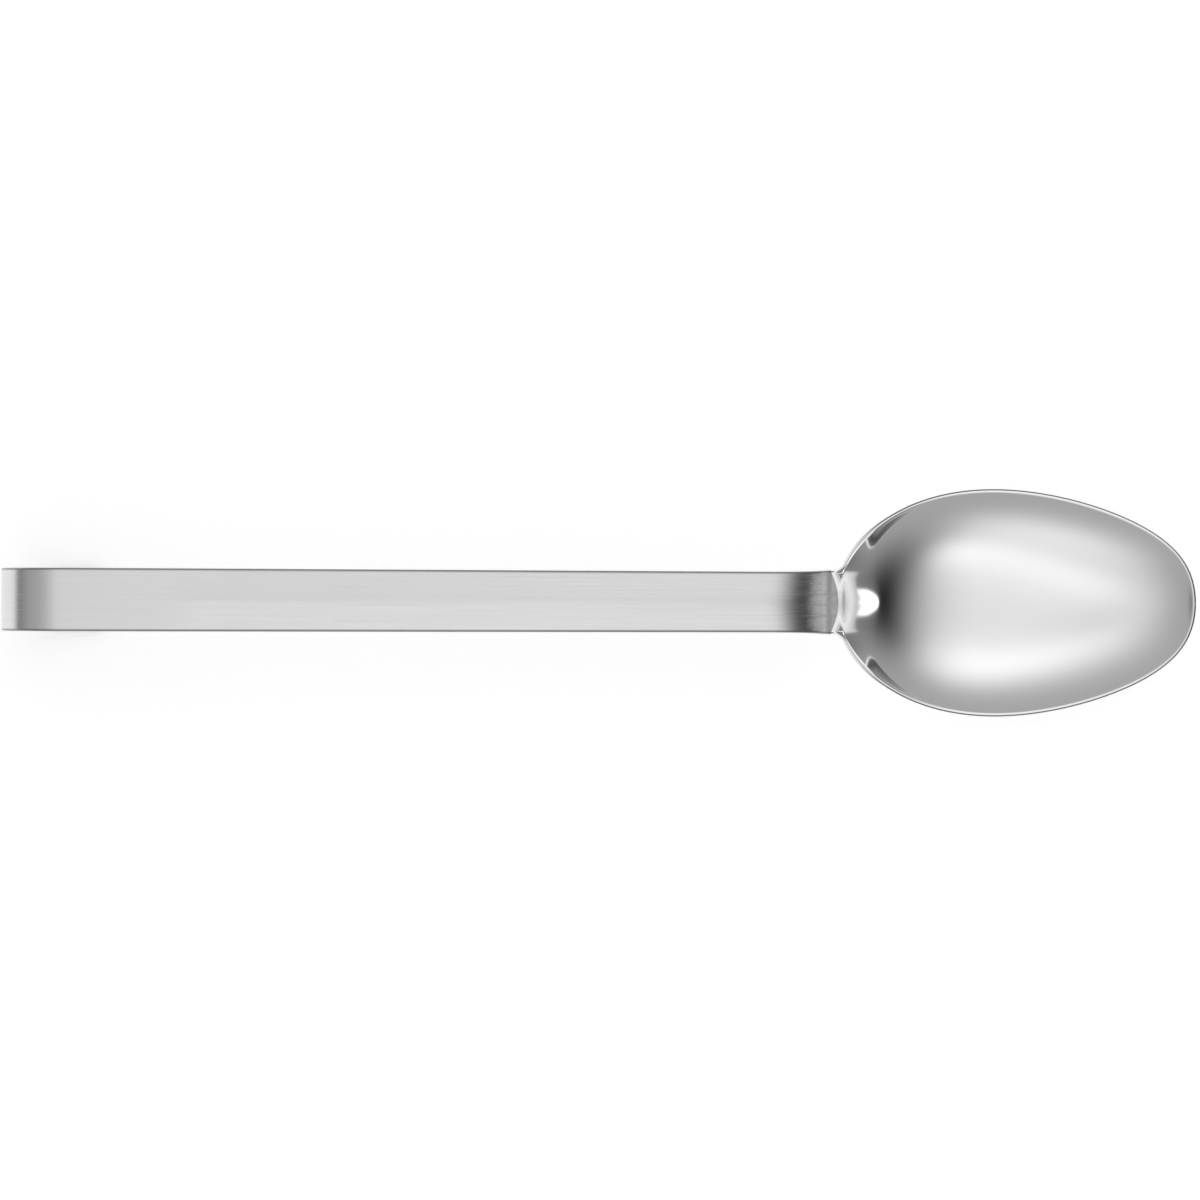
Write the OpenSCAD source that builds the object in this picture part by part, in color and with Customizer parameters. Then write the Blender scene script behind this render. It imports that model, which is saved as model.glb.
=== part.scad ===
// Serving spoon: an egg-shaped bowl, a strip handle butt-welded to its neck, and a hanging hook
// bent from the strip's free end. It lies on a table at z = 0, on the bowl's bottom and the hook's
// return leg. X runs along the handle toward the bowl's tip, and the origin is under its middle.

/* [Overall] */
// Length from the outside of the hook's bend to the bowl's tip
overall_l = 330; // [310:1:350]

/* [Bowl] */
// Length of the egg outline, from the point where its back would close to the tip
bowl_l = 101.2; // [95:0.1:106]
// Greatest width, over the rim
bowl_w = 63; // [58:0.5:68]
// Depth inside over the outline's middle, from the rim beside it
bowl_depth = 8.8; // [7:0.1:15]
// Thickness of the bowl's wall
bowl_t = 1.3; // [1:0.1:1.8]
// How much lower the rim is at the tip than at the back, before its curve up to the neck
tip_fall = 1.4; // [0:0.1:4]
// How far the rim curves up toward the neck, evenly along its back half
back_lift = 6.1; // [3:0.1:8]
// How far it curves up at the neck alone
neck_lift = 2.7; // [0:0.1:8]
// Concave radius where the neck opens into the bowl's shoulders
shoulder_r = 5.5; // [4:0.5:7]

/* [Neck] */
// Width where the strip meets the bowl
neck_w = 17.6; // [16.8:0.1:19]
// Height of the neck above the rim at the tip
neck_rise = 11.3; // [7:0.1:13]
// Fall of the strip where it meets the bowl, in degrees
neck_slope = 53.5; // [40:0.5:56]
// Radius at which the neck levels out into the bowl
neck_bend_r = 11.2; // [9:0.5:20]
// Length over which the neck's upper face runs out into the bowl
neck_blend = 12.9; // [8:0.5:16]
// Length over which the metal thins from the strip's thickness to the wall's
thin_l = 20; // [14:1:28]

/* [Weld] */
// Width of the ground butt weld
weld_w = 1.1; // [0.8:0.1:2]
// How far the middle of the weld bows toward the bowl
weld_bow = 2; // [1:0.1:3]

/* [Strip] */
// Thickness of the strip along its middle
strip_t = 2.8; // [2.4:0.1:3.2]
// Width at the hook
hook_w = 17.3; // [16:0.1:19]
// Narrowest width, just before the crank
waist_w = 16.6; // [15:0.1:17.4]
// Height of the ridge along the middle of the upper face
ridge_h = 0.7; // [0.4:0.1:1.1]
// Width of the rounding along each edge
edge_r = 0.8; // [0.5:0.1:1.2]
// Fall of the straight length, in degrees
strip_slope = 1.8; // [1:0.1:2.6]
// Length of the crank down to the bowl
crank_l = 21; // [16:0.5:26]

/* [Hook] */
// Inside radius of the hook's bend
hook_r = 15; // [14:0.5:16.5]
// Length of the flat return leg under the bend
leg_l = 9; // [6:0.5:14]
// Corner radius at the leg's end
leg_corner_r = 4; // [2:0.5:6]
// Length over which the straight length leaves the bend level
relax_l = 20; // [10:1:30]
// Distance from the bend at which the ridge starts
ridge_start = 26; // [20:1:40]
// Length over which the ridge grows to its full height
ridge_l = 19; // [12:1:30]

/* [Hidden] */

// Shares that shape the bowl's outline: where the disc's middle lies, how blunt the tip is, and how
// the width leans to the tip and draws in at both ends
deep_share = 0.592;
blunt_share = 0.085;
lean_share = 0.089;
draw_share = 0.178;
// Shares that shape its dish: how the depth leans to the tip and how full the section is
tip_depth_share = 0.17;
full_share = 0.66;
// How square the strip's edges are, 1 being a round edge
square_share = 0.55;
// How far from the middle the ridge is rounded, and how much of its height is left at the neck
soft_ridge_share = 0.12;
neck_ridge_share = 0.25;
// Where the columns of points lie across the strip, from edge to edge
col_shares = [-1, -0.6, -0.28, -0.1, 0, 0.1, 0.28, 0.6, 1];
// Part of the rim's plan width that lies outside its inner edge, for each unit of wall
rim_share = 0.87;
// How far the dish goes on rising past the rim's inner edge
past_rim_share = 0.01;
// Gap between the weld and the start of the shoulder
shoulder_gap = 0.1;
// Past-the-end length of cutting shapes
overrun = 1;

// Counts: rays along one side of the egg and one shoulder, columns across the neck, rings of the
// dish, steps round an edge, and stations along the straight length and along the crank
n_egg = 38;
n_shoulder = 6;
n_cols = len(col_shares) - 1;
n_rings = 17;
n_edge = 8;
n_straight = 34;
n_crank = 22;
$fn = 96;

// Heights and places along the spoon
tip_x = overall_l / 2;
rim_inset = rim_share * bowl_t;
egg_l = bowl_l - 2 * rim_inset;
egg_half_w = bowl_w / 2 - rim_inset;
egg_tip_x = tip_x - rim_inset;
hook_out_r = hook_r + strip_t;
hook_x = hook_out_r - overall_l / 2;
neck_half = neck_w / 2 - edge_r;

// The egg is the unit disc with its length and width stretched along p, its lengthwise coordinate.
// The inner edge of the rim is the disc's edge.
p_share = (1 + blunt_share) / 2;
pp_share = (2 * deep_share + blunt_share - 1) / 2;
function ease(v) = let (c = min(max(v, 0), 1)) c * c * (3 - 2 * c);
function mix(a, b, w) = a + (b - a) * w;
function width_share(p) = 1 + lean_share * p - draw_share * p * p;
function egg_x(p) =
    egg_tip_x + egg_l * (p_share * p + pp_share * p * p - deep_share - blunt_share * pow(max(p, 0), 6));
function egg_y(p, q) = egg_half_w * q * width_share(p);
function disc_p(x) =
    let (v = (x - egg_tip_x) / egg_l + deep_share)
    (sqrt(p_share * p_share + 4 * pp_share * v) - p_share) / (2 * pp_share);
function disc_pq(x, y) = let (p = disc_p(x)) [p, y / (egg_half_w * width_share(p))];

// Rise of the rim from the tip, and depth of the dish below it as a share of the middle's
function rim_rise(p) =
    let (back = pow(min(p, 0), 2))
    tip_fall * (1 - p) / 2 + back_lift * back + neck_lift * back * back;
function dish_share(p, q) =
    let (rr = p * p + q * q)
    max(1 - rr, -past_rim_share) * (1 + tip_depth_share * p + full_share * rr);
// The dish's lowest point rests on the table, which sets the height of the rim at the tip
function dish_drop(p) = bowl_depth * dish_share(p, 0) - rim_rise(p);
function lowest(lo, hi, steps) =
    let (a = mix(lo, hi, 1 / 3), b = mix(lo, hi, 2 / 3))
    steps == 0 ? (lo + hi) / 2
    : dish_drop(a) < dish_drop(b) ? lowest(a, hi, steps - 1)
    : lowest(lo, b, steps - 1);
tip_rim_z = bowl_t + dish_drop(lowest(-1, 1, 60));

// Outward normal of the egg's edge at angle t
function egg_normal(t) =
    let (
        u = cos(t),
        dx = -sin(t) * egg_l * (p_share + 2 * pp_share * u - 6 * blunt_share * pow(max(u, 0), 5)),
        dy = egg_half_w * (u * width_share(u) - sin(t) * sin(t) * (lean_share - 2 * draw_share * u)),
        len = norm([dx, dy])
    )
    [dy / len, -dx / len];

// Angle at which the shoulder's fillet touches both the egg and the neck's side
function shoulder_gap_at(t) =
    egg_y(cos(t), sin(t)) + shoulder_r * egg_normal(t)[1] - neck_half - shoulder_r;
function shoulder_t(lo, hi, steps) =
    let (mid = (lo + hi) / 2)
    steps == 0 ? mid
    : shoulder_gap_at(mid) > 0 ? shoulder_t(mid, hi, steps - 1)
    : shoulder_t(lo, mid, steps - 1);
fillet_t = shoulder_t(100, 179, 30);
fillet_n = egg_normal(fillet_t);
fillet_c = [
    egg_x(cos(fillet_t)) + shoulder_r * fillet_n[0],
    neck_half + shoulder_r
];
fillet_turn = acos(fillet_n[1]);

// Edges of the weld's two faces. Each face is bowed toward the bowl and upright.
bowl_face_x = fillet_c[0] - shoulder_gap;
strip_face_x = bowl_face_x - weld_w;
function across(y) = min(abs(y) / neck_half, 1);
function face_x(y) = bowl_face_x + weld_bow * (1 - pow(across(y), 2));

// Upper face of the strip along its middle: level at the bend, straight, cranked down to the neck,
// and then levelling out into the bowl. Slopes count falls as positive.
hook_top = 2 * hook_out_r;
crank_x = bowl_face_x - crank_l;
straight_fall = tan(strip_slope);
neck_fall = tan(neck_slope);
neck_z = tip_rim_z + neck_rise;
function straight_z(x) = hook_top - straight_fall * (x - hook_x - relax_l / 2);
function crank_z(v) =
    let (drop = straight_z(crank_x) - neck_z)
    neck_z + drop * (1 - ease(v))
    - crank_l * (straight_fall * v * (1 - v) * (1 - v) - neck_fall * v * v * (1 - v));
function crank_fall(v) =
    let (drop = straight_z(crank_x) - neck_z)
    6 * v * (1 - v) * drop / crank_l
    + straight_fall * (1 - v) * (1 - 3 * v) - neck_fall * v * (2 - 3 * v);
function strip_z(x) =
    x < hook_x + relax_l ? hook_top - straight_fall * pow(x - hook_x, 2) / (2 * relax_l)
    : x < crank_x ? straight_z(x)
    : x < bowl_face_x ? crank_z((x - crank_x) / crank_l)
    : neck_z - neck_fall * (x - bowl_face_x) + pow(x - bowl_face_x, 2) / (2 * neck_bend_r);
function strip_fall(x) =
    x < hook_x + relax_l ? straight_fall * (x - hook_x) / relax_l
    : x < crank_x ? straight_fall
    : x < bowl_face_x ? crank_fall((x - crank_x) / crank_l)
    : neck_fall - (x - bowl_face_x) / neck_bend_r;
function upright_t(x) = strip_t * sqrt(1 + pow(strip_fall(x), 2));
function ridge_at(x) =
    ridge_h * ease((x - hook_x - ridge_start) / ridge_l)
    * mix(1, neck_ridge_share, ease((x - crank_x) / crank_l));
function strip_w(x) =
    let (taper = (x - hook_x) / (crank_x - hook_x), flare = (x - crank_x) / crank_l)
    x < crank_x ? mix(hook_w, waist_w, taper) : mix(waist_w, neck_w, pow(min(flare, 1), 3));

// Rounded edge between an upper and a lower point: a bulge of size h along the outward direction,
// round where round_share is 1 and squarer below it
function edge_points(upper, lower, out, h, round_share) =
    let (mid = (upper + lower) / 2, arm = (upper - lower) / 2)
    [for (i = [1 : n_edge - 1])
        let (a = 180 * i / n_edge, c = cos(a), s = sin(a))
        mid + arm * sign(c) * pow(abs(c), round_share) + out * h * pow(s, round_share)];

// How far the upper face has fallen from its ridge at v from the middle, as a share of the fall to
// the edge: two flats with a softly rounded ridge between them
function roof(v) =
    (sqrt(v * v + pow(soft_ridge_share, 2)) - soft_ridge_share)
    / (sqrt(1 + pow(soft_ridge_share, 2)) - soft_ridge_share);

// One ring round the strip with its edges at x and its middle bowed on by bow. It runs along the
// upper face from -Y to +Y, down the +Y edge, back along the flat lower face and up the -Y edge.
function upper_point(x, bow, half, v) =
    let (px = x + bow * (1 - v * v)) [px, half * v, strip_z(px) - ridge_at(px) * roof(v)];
function lower_point(x, bow, half, v) =
    let (px = x + bow * (1 - v * v)) [px, half * v, strip_z(px) - upright_t(px)];
function ring(x, bow) =
    let (
        half = strip_w(x) / 2 - edge_r,
        upper = [for (i = [0 : n_cols]) upper_point(x, bow, half, col_shares[i])],
        lower = [for (i = [n_cols : -1 : 0]) lower_point(x, bow, half, col_shares[i])],
        right = edge_points(upper[n_cols], lower[0], [0, 1, 0], edge_r, square_share),
        left = edge_points(lower[n_cols], upper[0], [0, -1, 0], edge_r, square_share)
    )
    concat(upper, right, lower, left);
ring_n = 2 * (n_cols + 1) + 2 * (n_edge - 1);

// Faces of one end, whose corners are at the given places in the list of points: upright columns
// between the upper and lower faces, and a fan at each edge. They look toward -X.
function end_faces(upper, right, lower, left) = concat(
    [for (i = [0 : n_cols - 1]) [upper[i], lower[n_cols - i], lower[n_cols - i - 1]]],
    [for (i = [0 : n_cols - 1]) [upper[i], lower[n_cols - i - 1], upper[i + 1]]],
    [concat([lower[0]], [for (i = [n_edge - 2 : -1 : 0]) right[i]], [upper[n_cols]])],
    [concat([upper[0]], [for (i = [n_edge - 2 : -1 : 0]) left[i]], [lower[n_cols]])]
);
function flip(faces) = [for (f = faces) [for (i = [len(f) - 1 : -1 : 0]) f[i]]];
function span(first, count) = [for (i = [0 : count - 1]) first + i];
function ring_end(first) = end_faces(
    span(first, n_cols + 1),
    span(first + n_cols + 1, n_edge - 1),
    span(first + n_cols + n_edge, n_cols + 1),
    span(first + 2 * n_cols + n_edge + 1, n_edge - 1)
);

// A length of the strip, from a list of rings that follow one another toward +X
module strip_length(rings) {
    count = len(rings);
    walls = [for (k = [0 : count - 2], i = [0 : ring_n - 1])
        let (j = (i + 1) % ring_n, a = k * ring_n)
        each [[a + i, a + j, a + ring_n + j], [a + i, a + ring_n + j, a + ring_n + i]]];
    polyhedron(
        [for (r = rings) each r],
        concat(ring_end(0), walls, flip(ring_end((count - 1) * ring_n))),
        convexity = 6
    );
}

// A point of the bowl's upper face over a point of the disc: the dish, with the neck's upper face
// running out into it
function dish_z(p, q) = tip_rim_z + rim_rise(p) - bowl_depth * dish_share(p, q);
function neck_top_z(x, y) = strip_z(x) - ridge_at(x) * roof(y / neck_half);
function bowl_upper(p, q) =
    let (
        x = egg_x(p),
        y = egg_y(p, q),
        blend = ease((x - face_x(y)) / neck_blend)
    )
    [x, y, mix(neck_top_z(x, y), dish_z(p, q), blend)];

// The point of the bowl's lower face opposite one of the upper face: straight down at the weld,
// and square to the wall once the metal has thinned
disc_step = 0.001;
function bowl_normal(p, q) =
    let (
        along = bowl_upper(p + disc_step, q) - bowl_upper(p - disc_step, q),
        over = bowl_upper(p, q + disc_step) - bowl_upper(p, q - disc_step),
        n = cross(along, over)
    )
    n / norm(n);
function thinned(x, y) = ease((x - face_x(y)) / thin_l);
function bowl_lower(p, q) =
    let (
        a = bowl_upper(p, q),
        down = upright_t(min(a[0], bowl_face_x + weld_bow)) - ridge_at(a[0]) * roof(across(a[1]))
    )
    a - mix([0, 0, down], bowl_t * bowl_normal(p, q), thinned(a[0], a[1]));

// Half of the rim's inner edge, from the tip round to the weld's corner, with its outward normals
half_rim = concat(
    [for (i = [0 : n_egg])
        let (t = fillet_t * i / n_egg, n = egg_normal(t))
        [egg_x(cos(t)), egg_y(cos(t), sin(t)), cos(t), sin(t), n[0], n[1]]],
    [for (i = [1 : n_shoulder])
        let (
            a = fillet_turn * (1 - i / n_shoulder),
            n = [-sin(a), cos(a)],
            xy = fillet_c - shoulder_r * n,
            pq = disc_pq(xy[0], xy[1])
        )
        [xy[0], xy[1], pq[0], pq[1], n[0], n[1]]],
    [let (pq = disc_pq(bowl_face_x, neck_half)) [bowl_face_x, neck_half, pq[0], pq[1], 0, 1]]
);
n_half = len(half_rim) - 1;
// The whole rim from the weld's -Y corner round the tip to its +Y corner, then the columns between
rim = concat(
    [for (i = [n_half : -1 : 1])
        let (r = half_rim[i]) [r[0], -r[1], r[2], -r[3], r[4], -r[5]]],
    half_rim,
    [for (i = [n_cols - 1 : -1 : 1])
        let (
            v = col_shares[i],
            x = face_x(neck_half * v),
            pq = disc_pq(x, neck_half * v)
        )
        [x, neck_half * v, pq[0], pq[1], 0, 0]]
);
n_rays = len(rim);
n_open = 2 * n_half + 1;

module spoon_bowl() {
    // Points: upper rings and lower rings from the lowest point outward, then the rim's edge
    upper = [for (k = [1 : n_rings], r = rim) bowl_upper(r[2] * k / n_rings, r[3] * k / n_rings)];
    lower = [for (k = [1 : n_rings], r = rim) bowl_lower(r[2] * k / n_rings, r[3] * k / n_rings)];
    face_n = n_rings * n_rays;
    last = (n_rings - 1) * n_rays;
    edges = [for (i = [0 : n_open - 1])
        let (
            r = rim[i],
            a = upper[last + i],
            b = lower[last + i],
            arm = (a - b) / norm(a - b),
            level = [r[4], r[5], 0],
            out = level - arm * (level * arm),
            w = thinned(a[0], a[1])
        )
        each edge_points(a, b, out / norm(out), mix(edge_r, norm(a - b) / 2, w), mix(square_share, 1, w))];
    edge_at = 2 * face_n;
    middle_at = edge_at + len(edges);
    function up(k, i) = (k - 1) * n_rays + i % n_rays;
    function low(k, i) = face_n + up(k, i);
    function edge(i, j) =
        j == 0 ? up(n_rings, i) : j == n_edge ? low(n_rings, i) : edge_at + i * (n_edge - 1) + j - 1;
    rays = [0 : n_rays - 1];
    upper_faces = concat(
        [for (i = rays) [middle_at, up(1, i), up(1, i + 1)]],
        [for (k = [1 : n_rings - 1], i = rays)
            each [[up(k, i), up(k + 1, i), up(k + 1, i + 1)], [up(k, i), up(k + 1, i + 1), up(k, i + 1)]]]
    );
    lower_faces = concat(
        [for (i = rays) [middle_at + 1, low(1, i + 1), low(1, i)]],
        [for (k = [1 : n_rings - 1], i = rays)
            each [[low(k, i), low(k + 1, i + 1), low(k + 1, i)], [low(k, i), low(k, i + 1), low(k + 1, i + 1)]]]
    );
    edge_faces = [for (i = [0 : n_open - 2], j = [0 : n_edge - 1])
        each [[edge(i, j), edge(i, j + 1), edge(i + 1, j + 1)], [edge(i, j), edge(i + 1, j + 1), edge(i + 1, j)]]];
    // The neck's end, in the order of a ring: upper face from -Y to +Y and the rest round from there
    weld_faces = end_faces(
        [for (c = [0 : n_cols]) up(n_rings, c == 0 ? 0 : n_rays - c)],
        [for (j = [1 : n_edge - 1]) edge(n_open - 1, j)],
        [for (c = [n_cols : -1 : 0]) low(n_rings, c == 0 ? 0 : n_rays - c)],
        [for (j = [n_edge - 1 : -1 : 1]) edge(0, j)]
    );
    color([0.86, 0.87, 0.88])
        polyhedron(
            concat(upper, lower, edges, [bowl_upper(0, 0), bowl_lower(0, 0)]),
            concat(flip(concat(upper_faces, lower_faces, edge_faces)), weld_faces),
            convexity = 10
        );
}

module neck_weld() {
    color([0.66, 0.66, 0.65])
        strip_length([ring(strip_face_x, weld_bow), ring(bowl_face_x, weld_bow)]);
}

module handle_strap() {
    section = ring(hook_x, 0);
    color([0.74, 0.75, 0.76]) {
        // Straight length and crank. The rings bow more and more over the crank.
        strip_length(concat(
            [for (i = [0 : n_straight - 1]) ring(mix(hook_x, crank_x, i / n_straight), 0)],
            [for (i = [0 : n_crank])
                let (v = i / n_crank)
                ring(mix(crank_x, strip_face_x, v), weld_bow * ease(v))]
        ));
        // Half-turn bend
        translate([hook_x, 0, hook_out_r])
            rotate([90, 0, 0])
                rotate([0, 0, 90])
                    rotate_extrude(angle = 180)
                        polygon([for (s = section) [s[2] - hook_out_r, s[1]]]);
        // Return leg with rounded corners
        intersection() {
            translate([hook_x, 0, 0])
                rotate([90, 0, 90])
                    linear_extrude(leg_l)
                        polygon([for (s = section) [s[1], hook_top - s[2]]]);
            translate([hook_x, 0, -overrun])
                linear_extrude(strip_t + 2 * overrun)
                    leg_plan();
        }
    }
}

module leg_plan() {
    translate([-overrun, -hook_w / 2 - overrun])
        square([leg_l - leg_corner_r + overrun, hook_w + 2 * overrun]);
    translate([-overrun, leg_corner_r - hook_w / 2])
        square([leg_l + overrun, hook_w - 2 * leg_corner_r]);
    for (side = [-1, 1])
        translate([leg_l - leg_corner_r, side * (hook_w / 2 - leg_corner_r)])
            circle(leg_corner_r);
}

spoon_bowl();
neck_weld();
handle_strap();
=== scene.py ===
import math
import bmesh
import bpy
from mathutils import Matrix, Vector


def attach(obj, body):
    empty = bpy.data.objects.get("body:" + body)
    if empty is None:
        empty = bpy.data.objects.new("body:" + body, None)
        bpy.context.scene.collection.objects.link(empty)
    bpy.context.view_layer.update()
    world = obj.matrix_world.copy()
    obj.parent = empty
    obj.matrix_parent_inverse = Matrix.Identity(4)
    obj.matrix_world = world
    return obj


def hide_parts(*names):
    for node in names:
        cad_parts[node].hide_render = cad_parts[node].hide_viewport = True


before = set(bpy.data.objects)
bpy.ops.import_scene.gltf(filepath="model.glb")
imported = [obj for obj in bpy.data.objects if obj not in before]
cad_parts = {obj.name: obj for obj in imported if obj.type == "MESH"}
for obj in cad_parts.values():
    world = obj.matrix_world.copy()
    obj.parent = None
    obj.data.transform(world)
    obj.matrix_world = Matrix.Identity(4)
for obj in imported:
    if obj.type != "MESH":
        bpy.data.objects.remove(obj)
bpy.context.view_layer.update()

mm = 0.001

# Sizes of the bowl and its neck, with the slopes and bends that the neck comes down in
tip_x = 165 * mm
bowl_l = 101.2 * mm
bowl_w = 63 * mm
bowl_depth = 8.8 * mm
bowl_t = 1.3 * mm
tip_fall = 1.4 * mm
back_lift = 6.1 * mm
neck_lift = 2.7 * mm
shoulder_r = 5.5 * mm
neck_w = 17.6 * mm
neck_rise = 11.3 * mm
neck_fall = math.tan(math.radians(53.5))
line_fall = math.tan(math.radians(46))
neck_bend_r = 11.2 * mm
neck_blend = 12.9 * mm
thin_l = 20 * mm
neck_end_l = 0.1 * mm

# Sizes of the weld and the strip, on whose lines the neck starts
weld_w = 1.1 * mm
weld_bow = 2 * mm
strip_t = 2.8 * mm
ridge_h = 0.7 * mm
ridge_start = 26 * mm
ridge_l = 19 * mm
edge_r = 0.8 * mm
hook_r = 15 * mm
relax_l = 20 * mm
crank_run = 21 * mm
crank_fall = math.tan(math.radians(48))
straight_fall = math.tan(math.radians(1.8))

# Shares of those sizes, which give the egg its outline, the dish its fullness, the edges their form
deep_share = 0.592
blunt_share = 0.085
blunt_power = 6
lean_share = 0.089
draw_share = 0.178
tip_depth_share = 0.17
full_share = 0.66
square_share = 0.55
soft_ridge_share = 0.12
neck_ridge_share = 0.25
past_rim_share = 0.01
inset_share = 0.87
rim_inset = inset_share * bowl_t
egg_l = bowl_l - 2 * rim_inset
egg_half_w = bowl_w / 2 - rim_inset
egg_tip_x = tip_x - rim_inset
neck_half = neck_w / 2 - edge_r
p_share = (1 + blunt_share) / 2
pp_share = (2 * deep_share + blunt_share - 1) / 2


def ease(v):
    c = min(max(v, 0.0), 1.0)
    return c * c * (3 - 2 * c)


def mix(a, b, w):
    return a + (b - a) * w


# A point of the bowl is p along a round disc and q across it, both from -1 to 1, and the disc is
# drawn out into the egg
def width_share(p):
    return 1 + lean_share * p - draw_share * p * p


def egg_x(p):
    blunt = blunt_share * max(p, 0.0) ** blunt_power
    return egg_tip_x + egg_l * (p_share * p + pp_share * p * p - deep_share - blunt)


def egg_y(p, q):
    return egg_half_w * q * width_share(p)


def rim_rise(p):
    back = min(p, 0.0) ** 2
    return tip_fall * (1 - p) / 2 + back_lift * back + neck_lift * back * back


def dish_share(p, q):
    rr = p * p + q * q
    return max(1 - rr, -past_rim_share) * (1 + tip_depth_share * p + full_share * rr)


# The dish's lowest point rests on the table, which sets the height of the rim at the tip
n_tries = 60
low, high = 0.0, 1.0
for step in range(n_tries):
    near, far = mix(low, high, 1 / 3), mix(low, high, 2 / 3)
    drops = [bowl_depth * dish_share(p, 0) - rim_rise(p) for p in (near, far)]
    low, high = (near, high) if drops[0] < drops[1] else (low, far)
tip_rim_z = bowl_t + drops[0]


def disc_point(x, y):
    v = (x - egg_tip_x) / egg_l + deep_share
    p = (math.sqrt(p_share ** 2 + 4 * pp_share * v) - p_share) / (2 * pp_share)
    return p, y / (egg_half_w * width_share(p))


def egg_normal(t):
    u, s = math.cos(t), math.sin(t)
    blunt = blunt_power * blunt_share * max(u, 0.0) ** (blunt_power - 1)
    dx = -s * egg_l * (p_share + 2 * pp_share * u - blunt)
    dy = egg_half_w * (u * width_share(u) - s * s * (lean_share - 2 * draw_share * u))
    return Vector((dy, -dx)).normalized()


# The shoulder's fillet touches the egg and the neck's side
low, high = math.radians(100), math.radians(179)
for step in range(n_tries):
    mid = (low + high) / 2
    reach = egg_y(math.cos(mid), math.sin(mid)) + shoulder_r * egg_normal(mid).y
    low, high = (mid, high) if reach > neck_half + shoulder_r else (low, mid)
fillet_t = mid
fillet_n = egg_normal(fillet_t)
fillet_c = Vector((egg_x(math.cos(fillet_t)) + shoulder_r * fillet_n.x, neck_half + shoulder_r))
bowl_face_x = fillet_c.x - neck_end_l
strip_face_x = bowl_face_x - weld_w


def across(y):
    return min(abs(y) / neck_half, 1.0)


def face_x(y):
    return bowl_face_x + weld_bow * (1 - across(y) ** 2)


# The strip's upper face along its middle: level at the bend, straight, cranked down to the neck
hook_out_r = hook_r + strip_t
hook_x = hook_out_r - tip_x
hook_top = 2 * hook_out_r
crank_x = bowl_face_x - crank_run
crank_l = strip_face_x - crank_x
level_l = neck_bend_r * (neck_fall - line_fall)
neck_z = tip_rim_z + neck_rise - level_l * (neck_fall - line_fall) / 2
strip_end_z = neck_z + weld_w * crank_fall


def straight_z(x):
    return hook_top - straight_fall * (x - hook_x - relax_l / 2)


def strip_z(x):
    if x < hook_x + relax_l:
        return hook_top - straight_fall * (x - hook_x) ** 2 / (2 * relax_l)
    if x < crank_x:
        return straight_z(x)
    if x > bowl_face_x:
        past = x - bowl_face_x
        curl = max(past - level_l, 0)
        return neck_z - line_fall * past + curl * curl / (2 * neck_bend_r)
    if x > strip_face_x:
        return neck_z + crank_fall * (bowl_face_x - x)
    v = (x - crank_x) / crank_l
    drop = straight_z(crank_x) - strip_end_z
    bends = straight_fall * v * (1 - v) ** 2 - crank_fall * v * v * (1 - v)
    return strip_end_z + drop * (1 - ease(v)) - crank_l * bends


def strip_fall(x):
    bit = mm / 100
    return (strip_z(x - bit) - strip_z(x + bit)) / (2 * bit)


def upright_t(x):
    return strip_t * math.sqrt(1 + strip_fall(x) ** 2)


def roof(v):
    k = soft_ridge_share
    return (math.sqrt(v * v + k * k) - k) / (math.sqrt(1 + k * k) - k)


def ridge_at(x):
    grown = ease((x - hook_x - ridge_start) / ridge_l)
    return ridge_h * grown * mix(1, neck_ridge_share, ease((x - crank_x) / crank_l))


# The neck's face, which has the strip's form, goes over into the dish
def bowl_upper(p, q):
    x, y = egg_x(p), egg_y(p, q)
    dish = tip_rim_z + rim_rise(p) - bowl_depth * dish_share(p, q)
    neck = strip_z(x) - ridge_at(x) * roof(y / neck_half)
    return Vector((x, y, mix(neck, dish, ease((x - face_x(y)) / neck_blend))))


# The metal is as thick as the strip at the weld, and thins to the wall's thickness
def bowl_lower(p, q):
    bit = 0.001
    along = bowl_upper(p + bit, q) - bowl_upper(p - bit, q)
    over = bowl_upper(p, q + bit) - bowl_upper(p, q - bit)
    normal = along.cross(over).normalized()
    a = bowl_upper(p, q)
    down = upright_t(min(a.x, bowl_face_x + weld_bow)) - ridge_at(a.x) * roof(across(a.y))
    thin = ease((a.x - face_x(a.y)) / thin_l)
    return a - mix(Vector((0, 0, down)), bowl_t * normal, thin)


# A point of a rounded edge: the turn goes from 0 at its upper line to half a circle at its lower
def round_edge(upper, lower, out, bulge, share, turn):
    middle, arm = (upper + lower) / 2, (upper - lower) / 2
    c, s = math.cos(turn), math.sin(turn)
    swing = math.copysign(abs(c) ** share, c)
    return middle + arm * swing + out * bulge * max(s, 0.0) ** share


# Rays of the bowl, from the weld's -Y corner round the tip to its +Y corner and across the neck
n_egg, n_shoulder, n_cols = 130, 18, 28
half_rim = []
for i in range(n_egg + 1):
    t = fillet_t * i / n_egg
    half_rim.append(((math.cos(t), math.sin(t)), egg_normal(t)))
for i in range(1, n_shoulder + 1):
    a = math.acos(fillet_n.y) * (1 - i / n_shoulder)
    n = Vector((-math.sin(a), math.cos(a)))
    spot = fillet_c - shoulder_r * n
    half_rim.append((disc_point(spot.x, spot.y), n))
half_rim.append((disc_point(bowl_face_x, neck_half), Vector((0, 1))))
rim = [((p, -q), Vector((n.x, -n.y))) for (p, q), n in reversed(half_rim[1:])] + half_rim
by_corner = 0.995
for v in [by_corner] + [1 - 2 * i / n_cols for i in range(1, n_cols)] + [-by_corner]:
    rim.append((disc_point(face_x(neck_half * v), neck_half * v), None))

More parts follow.
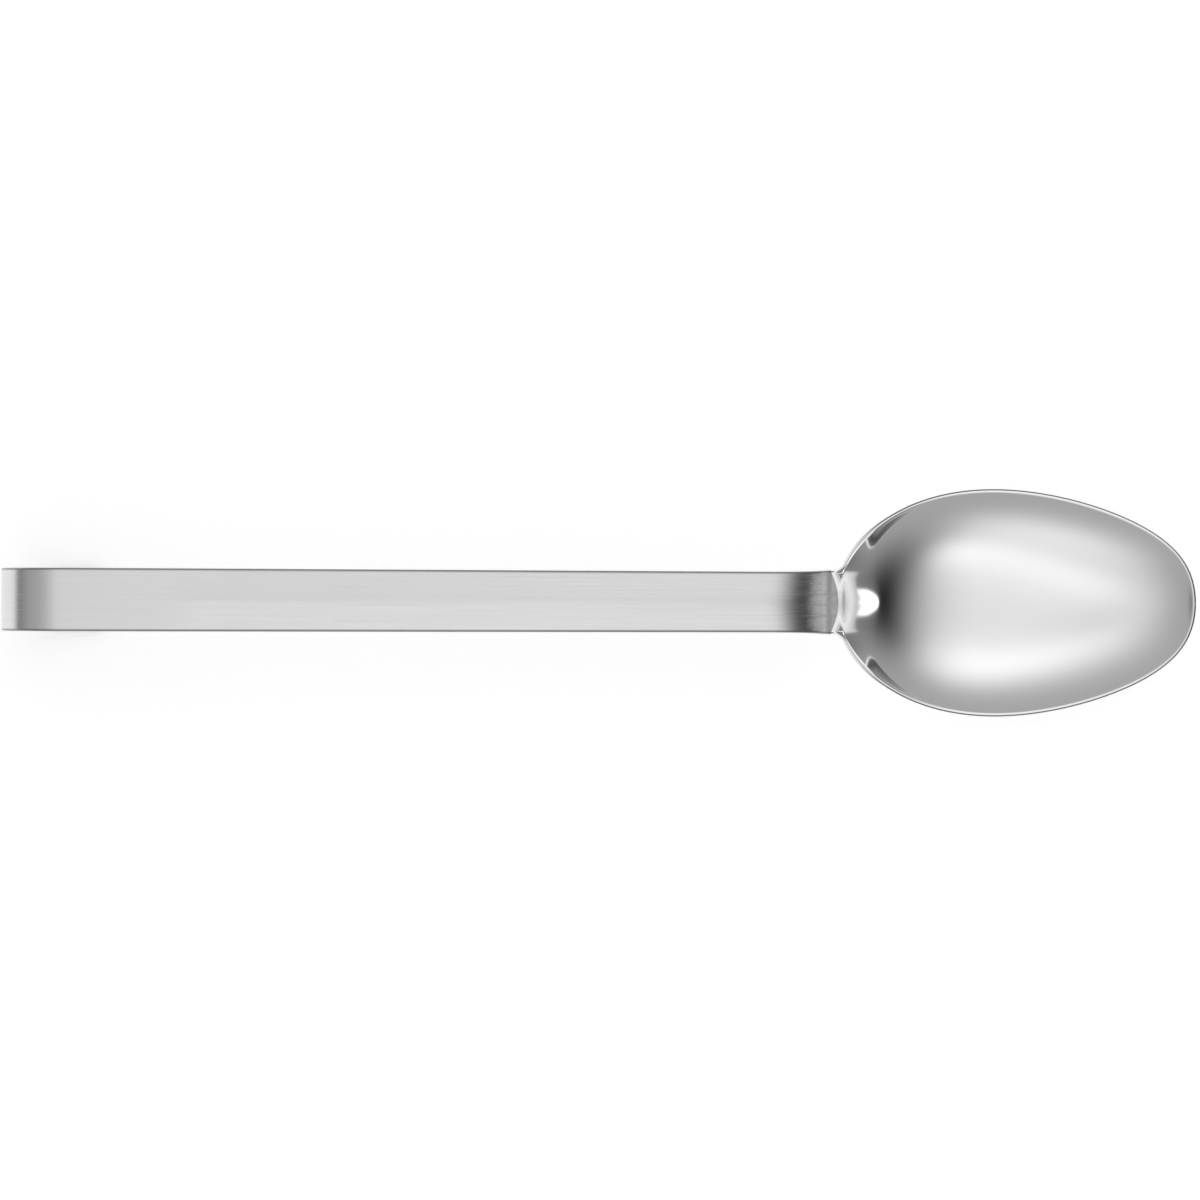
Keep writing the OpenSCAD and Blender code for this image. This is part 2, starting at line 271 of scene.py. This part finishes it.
# A round blank is spun from its section, and each of its points then goes to its place on the bowl.
# The rounded edge keeps the face's grey for its first steps, and the rest is marked for a dark painted
# shade line.
n_rings, n_edge = 76, 12
bm = bmesh.new()
step_of = bm.verts.layers.int.new("step")
edge_shade = bm.verts.layers.float.new("painted_edge_shade")
blank_r = 0.1
n_bright = n_edge // 3
chain = [(k / n_rings, blank_r) for k in range(n_rings + 1)]
for j in range(1, n_edge):
    turn = math.pi * j / n_edge
    chain.append((1 + blank_r * math.sin(turn), blank_r * math.cos(turn)))
chain += [(k / n_rings, -blank_r) for k in range(n_rings, -1, -1)]
line = []
for step, (r, z) in enumerate(chain):
    vert = bm.verts.new((r, 0, z))
    vert[step_of] = step
    # The outer steps of the rim's rounded edge are marked for the dark painted shade
    vert[edge_shade] = float(n_rings + n_bright < step < n_rings + n_edge)
    line.append(vert)
edges = [bm.edges.new(pair) for pair in zip(line, line[1:])]
bmesh.ops.spin(bm, geom=line + edges, cent=(0, 0, 0), axis=(0, 0, 1),
               angle=2 * math.pi, steps=len(rim), use_merge=True)
bmesh.ops.remove_doubles(bm, verts=bm.verts[:], dist=mm / 1000)


def rim_edge_point(ray, turn):
    (p, q), n = rim[ray]
    upper, lower = bowl_upper(p, q), bowl_lower(p, q)
    arm = (upper - lower).normalized()
    if n is None:
        return round_edge(upper, lower, Vector((0, 0, 0)), 0, 1, turn)
    out = Vector((n.x, n.y, 0))
    out = (out - arm * out.dot(arm)).normalized()
    w = ease((upper.x - face_x(upper.y)) / thin_l)
    bulge = mix(edge_r, (upper - lower).length / 2, w)
    return round_edge(upper, lower, out, bulge, mix(square_share, 1, w), turn)


def bowl_point(step, ray):
    p, q = rim[ray][0]
    if step <= n_rings:
        s = step / n_rings
        return bowl_upper(p * s, q * s)
    if step < n_rings + n_edge:
        return rim_edge_point(ray, math.pi * (step - n_rings) / n_edge)
    s = (2 * n_rings + n_edge - step) / n_rings
    return bowl_lower(p * s, q * s)


for vert in bm.verts:
    ray = round(math.atan2(vert.co.y, vert.co.x) / (2 * math.pi) * len(rim)) % len(rim)
    vert.co = bowl_point(vert[step_of], ray)


# The operator alone turns a thin dish inside out, so the volume that the faces enclose decides
def face_outwards(bm):
    bmesh.ops.recalc_face_normals(bm, faces=bm.faces[:])
    if bm.calc_volume(signed=True) < 0:
        bmesh.ops.reverse_faces(bm, faces=bm.faces[:])


def finish_mesh(bm, name):
    crease = math.radians(32)
    for face in bm.faces:
        face.smooth = True
    for edge in bm.edges:
        if len(edge.link_faces) == 2 and edge.calc_face_angle() > crease:
            edge.smooth = False
    mesh = bpy.data.meshes.new(name)
    bm.to_mesh(mesh)
    bm.free()
    piece = bpy.data.objects.new(name, mesh)
    bpy.context.scene.collection.objects.link(piece)
    return piece


class Wire:
    """A socket that does arithmetic: each operator adds the node that works it out."""

    def __init__(self, material, socket):
        self.material = material
        self.socket = socket

    def math(self, kind, *others):
        return self.material.node("Math", self, *others, settings={"operation": kind})

    def __add__(self, other):
        return self.math("ADD", other)

    __radd__ = __add__

    def __mul__(self, other):
        return self.math("MULTIPLY", other)

    __rmul__ = __mul__

    def __sub__(self, other):
        return self.math("SUBTRACT", other)

    def __rsub__(self, other):
        return (self * -1) + other

    def __truediv__(self, other):
        return self.math("DIVIDE", other)

    def __pow__(self, other):
        return self.math("POWER", other)


class Material:
    """A node material or world, with one method that adds any node."""

    def __init__(self, holder):
        holder.use_nodes = True
        self.holder = holder
        self.tree = holder.node_tree
        self.tree.nodes.clear()

    def node(self, kind, *first, settings=None, out=None, **named):
        """Adds a node. Its first inputs are given in their order, and others by their names."""
        node = self.tree.nodes.new("ShaderNode" + kind)
        for name, value in (settings or {}).items():
            setattr(node, name, value)
        feeds = list(zip(node.inputs, first))
        for name, value in named.items():
            wanted = name.replace("_", " ").lower()
            feeds.append((next(s for s in node.inputs if s.name.lower() == wanted and s.enabled), value))
        for socket, value in feeds:
            if isinstance(value, Wire):
                self.tree.links.new(value.socket, socket)
            else:
                socket.default_value = value
        given = [s for s in node.outputs if s.enabled and out in (None, s.name)]
        return Wire(self, given[0]) if given else None

    def steel(self, face, edge):
        """The grey of the faces, and the much darker grey painted on the rounded edges, a painted shade
        line along the outline.
        """
        share = self.node("Attribute", settings={"attribute_name": "painted_edge_shade"}, out="Fac")
        return self.grey(face, edge, share)

    def grey(self, first, second, share):
        """A grey that goes from the first level to the second as the share goes from 0 to 1."""
        return self.node("Mix", settings={"data_type": "RGBA"}, Factor=share,
                         A=(first, first, first, 1), B=(second, second, second, 1))

    def surface(self, shader):
        kind = "World" if isinstance(self.holder, bpy.types.World) else "Material"
        self.node("Output" + kind, Surface=shader)


polished = Material(bpy.data.materials.new("mirror_polished_steel"))
spot = polished.node("TexCoord", out="Object")
haze = polished.node("TexNoise", Vector=spot, Scale=90, Detail=2)
wave = polished.node("TexNoise", Vector=spot, Scale=55, Detail=1)
bump = polished.node("Bump", Strength=0.02, Distance=0.001, Height=wave)
polished.surface(polished.node(
    "BsdfPrincipled",
    # The rim's rounded edge is painted a dark grey: painted shade, an outline round the bowl
    Base_Color=polished.steel(face=0.86, edge=0.2),
    Metallic=1,
    Roughness=0.03 + 0.05 * haze,
    Normal=bump,
))

face_outwards(bm)
bowl = finish_mesh(bm, "polished_bowl")
bowl.data.materials.append(polished.holder)
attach(bowl, "root")
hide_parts("spoon_bowl")

# Handle strip: one steel strip with a satin grain along it. Its upper face is two flats with a low
# soft ridge, it is cranked down to the neck, where it is welded on, and its free end is bent through
# a half-turn into a hanging hook.
hook_w = 17.3 * mm
waist_w = 16.6 * mm
leg_l = 9 * mm
leg_corner_r = 4 * mm
flat_leg_l = leg_l - leg_corner_r
n_across, n_straight, n_crank, n_bend, n_leg, n_corner = 40, 95, 60, 72, 6, 16
upper_shares = [-1 + 2 * i / n_across for i in range(n_across + 1)]


def strip_w(x):
    if x < crank_x:
        return mix(hook_w, waist_w, (x - hook_x) / (crank_x - hook_x))
    return mix(waist_w, neck_w, min((x - crank_x) / crank_l, 1) ** 3)


def strip_ring(x, bow):
    half = strip_w(x) / 2 - edge_r
    upper, lower = [], []
    for v in upper_shares:
        px = x + bow * (1 - v * v)
        upper.append(Vector((px, half * v, strip_z(px) - ridge_at(px) * roof(v))))
        lower.append(Vector((px, half * v, strip_z(px) - upright_t(px))))
    turns = [math.pi * j / n_edge for j in range(1, n_edge)]
    out = Vector((0, 1, 0))
    right = [round_edge(upper[-1], lower[-1], out, edge_r, square_share, t) for t in turns]
    left = [round_edge(lower[0], upper[0], -out, edge_r, square_share, t) for t in turns]
    return upper + right + lower[::-1] + left


def ring_loop(bm, points):
    place = bm.verts.layers.int.new("place")
    edge_shade = bm.verts.layers.float.new("painted_edge_shade")
    n_flat = len(upper_shares)
    verts = []
    for i, point in enumerate(points):
        vert = bm.verts.new(point)
        vert[place] = i
        # The rounded side edges are marked for the dark painted shade along the strip and weld
        vert[edge_shade] = float(i % (n_flat + n_edge - 1) >= n_flat)
        verts.append(vert)
    return [bm.edges.new((verts[i - 1], verts[i])) for i in range(len(verts))]


def extend(bm, loop, points):
    place = bm.verts.layers.int["place"]
    grown = bmesh.ops.extrude_edge_only(bm, edges=loop)["geom"]
    for vert in grown:
        if isinstance(vert, bmesh.types.BMVert):
            vert.co = points[vert[place]]
    return [e for e in grown if isinstance(e, bmesh.types.BMEdge) and len(e.link_faces) == 1]


def close_end(bm, loop):
    bmesh.ops.contextual_create(bm, geom=loop)


bm = bmesh.new()
start = ring_loop(bm, strip_ring(hook_x, 0))
start_verts = bm.verts[:]
loop = start
for i in range(1, n_straight + 1):
    loop = extend(bm, loop, strip_ring(mix(hook_x, crank_x, i / n_straight), 0))
for i in range(1, n_crank + 1):
    v = i / n_crank
    loop = extend(bm, loop, strip_ring(mix(crank_x, strip_face_x, v), weld_bow * ease(v)))
close_end(bm, loop)
bend = bmesh.ops.spin(bm, geom=start + start_verts, cent=(hook_x, 0, hook_out_r), axis=(0, -1, 0),
                      angle=math.pi, steps=n_bend, use_merge=False)["geom_last"]
loop = [e for e in bend if isinstance(e, bmesh.types.BMEdge)]
leg_section = [Vector((hook_x, v.y, hook_top - v.z)) for v in strip_ring(hook_x, 0)]
leg_stations = [flat_leg_l * i / n_leg for i in range(1, n_leg + 1)]
for i in range(1, n_corner + 1):
    leg_stations.append(leg_l - leg_corner_r * (1 - math.sin(math.pi / 2 * i / n_corner)))
for reach in leg_stations:
    past = max(reach - flat_leg_l, 0) / leg_corner_r
    narrow = leg_corner_r * (1 - math.sqrt(max(1 - past * past, 0)))
    share = 1 - narrow / (hook_w / 2)
    loop = extend(bm, loop, [Vector((hook_x + reach, v.y * share, v.z)) for v in leg_section])
close_end(bm, loop)
face_outwards(bm)

satin = Material(bpy.data.materials.new("satin_steel"))
spot = satin.node("TexCoord", out="Object")
grain_at = satin.node("Mapping", Vector=spot, Scale=(90, 6000, 90))
grain = satin.node("TexNoise", Vector=grain_at, Scale=1, Detail=3)
streak_at = satin.node("Mapping", Vector=spot, Scale=(25, 1500, 25))
streak = satin.node("TexNoise", Vector=streak_at, Scale=1, Detail=2)
bump = satin.node("Bump", Strength=0.5, Distance=0.00004, Height=grain + 1.5 * streak)
satin.surface(satin.node(
    "BsdfPrincipled",
    # The rounded side edges are painted a dark grey: painted shade along the strip's outline
    Base_Color=satin.steel(face=0.74, edge=0.3),
    Metallic=1,
    Roughness=0.17 + 0.16 * streak,
    Normal=bump,
))

strip = finish_mesh(bm, "satin_handle_strip")
strip.data.materials.append(satin.holder)
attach(strip, "root")
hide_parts("handle_strap")

# Butt weld: the bead of steel that joins the strip to the bowl's neck, ground flush and given the
# strip's satin grain. It bows toward the bowl, and the mirror polish starts at its far edge.
n_weld = 3
bm = bmesh.new()
loop = ring_loop(bm, strip_ring(strip_face_x, weld_bow))
close_end(bm, loop)
for i in range(1, n_weld + 1):
    loop = extend(bm, loop, strip_ring(strip_face_x + weld_w * i / n_weld, weld_bow))
close_end(bm, loop)
face_outwards(bm)
weld = finish_mesh(bm, "ground_butt_weld")
weld.data.materials.append(satin.holder)
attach(weld, "root")
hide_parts("neck_weld")

# Table: a plain table of white paper, which the spoon lies on. Its light is painted: the paper's grey
# and glow are even around the spoon and fall off to darker beyond, a painted pool of light.
table_half = 2.5
even_r = 0.3
fall_off_l = 0.5
painted_far_light = 0.46
paper_white = 0.9
paper_glow = 0.5
bm = bmesh.new()
bmesh.ops.create_grid(bm, x_segments=1, y_segments=1, size=table_half)
table = finish_mesh(bm, "white_table")
paper = Material(bpy.data.materials.new("white_paper"))
seen = paper.node("LightPath", out="Is Camera Ray")
for ray in ("Is Glossy Ray", "Is Transmission Ray"):
    seen = seen.math("MAXIMUM", paper.node("LightPath", out=ray))
spot = paper.node("TexCoord", out="Object")
far_off = paper.node("VectorMath", spot, settings={"operation": "LENGTH"}, out="Value")
fade = ((far_off - even_r).math("MAXIMUM", 0) * (-1 / fall_off_l)).math("EXPONENT")
# Painted light: the share of the paper's grey and glow, full near the spoon and falling off beyond
painted_light_share = painted_far_light + (1 - painted_far_light) * fade
matt = paper.node("BsdfDiffuse", Color=paper.grey(0, paper_white, painted_light_share))
glow = paper.node("Emission", Color=(1, 1, 1, 1), Strength=paper_glow * painted_light_share * seen)
paper.surface(paper.node("AddShader", matt, glow))
table.data.materials.append(paper.holder)

# Studio light: a white tent with a large softbox on the left, as seen from the hook, a large and a
# small one on the right, weaker lights and a shade nearly overhead, dark openings beyond both ends,
# and a narrow upright lamp in the one beyond the tip.
sky = Material(bpy.data.worlds.new("light_tent"))
bpy.context.scene.world = sky.holder
way = sky.node("TexCoord", out="Generated")
wx, wy, wz = (sky.node("SeparateXYZ", way, out=axis) for axis in "XYZ")


# A round patch of light with a soft edge, so many degrees down from overhead and round from the
# tip. The larger its last number, the smaller it is.
def soft_patch(from_top, turn, narrow):
    a, b = math.radians(from_top), math.radians(turn)
    toward = wx * (math.sin(a) * math.cos(b)) + wy * (math.sin(a) * math.sin(b)) + wz * math.cos(a)
    return (narrow * (toward - 1)).math("EXPONENT")


top_light = 0.26 * soft_patch(12, -140, 12.6)
left_softbox = 0.79 * soft_patch(27.3, 62.8, 8.8)
right_softbox = 0.43 * soft_patch(39.5, -91, 16)
small_softbox = 0.57 * soft_patch(24, -46, 39)
strip_light = 0.17 * soft_patch(10, -93, 60)
strip_shade = 0.17 * soft_patch(10, 95, 60)
tent = 0.425 + top_light + left_softbox + right_softbox + small_softbox + strip_light - strip_shade

beyond_tip = 1 - 0.93 * soft_patch(54.6, -1, 7.1)
low_beyond_tip = 1 - 0.3 * soft_patch(84, 0, 8)
low_behind_hook = 1 - 0.65 * soft_patch(88, 180, 30)
openings = beyond_tip * low_beyond_tip * low_behind_hook

lamp_level = 3
lamp_foot, lamp_spread = 0.0105, 0.018
lamp_mid, lamp_reach = 0.17, 0.165
lean = wy / (lamp_foot + lamp_spread * wz)
climb = (wz - lamp_mid) * (1 / lamp_reach)
lamp = lamp_level * ((lean * lean) * -1 - climb ** 4).math("EXPONENT") * wx.math("GREATER_THAN", 0)
sky.surface(sky.node("Background", Color=(1, 1, 1, 1), Strength=tent * openings + lamp))

# Camera: straight above the spoon, a hair off its middle, and turned a little in its own plane as in
# the photograph.
view_height = 1094.6 * mm
focus_px = 3912
photo_px = 1200
film_w = 36
aside_l = -0.4 * mm
upward_px = 1.4
turned = math.radians(0.21)
far_clip = 10
camera = bpy.data.objects.new("camera", bpy.data.cameras.new("camera"))
bpy.context.scene.collection.objects.link(camera)
camera.data.sensor_width = film_w
camera.data.lens = film_w * focus_px / photo_px
camera.data.clip_end = far_clip
px = (view_height - tip_rim_z) / focus_px
camera.location = (aside_l, upward_px * px, view_height)
camera.rotation_euler = (0, 0, turned)
bpy.context.scene.camera = camera
bpy.context.scene.view_settings.view_transform = "Standard"
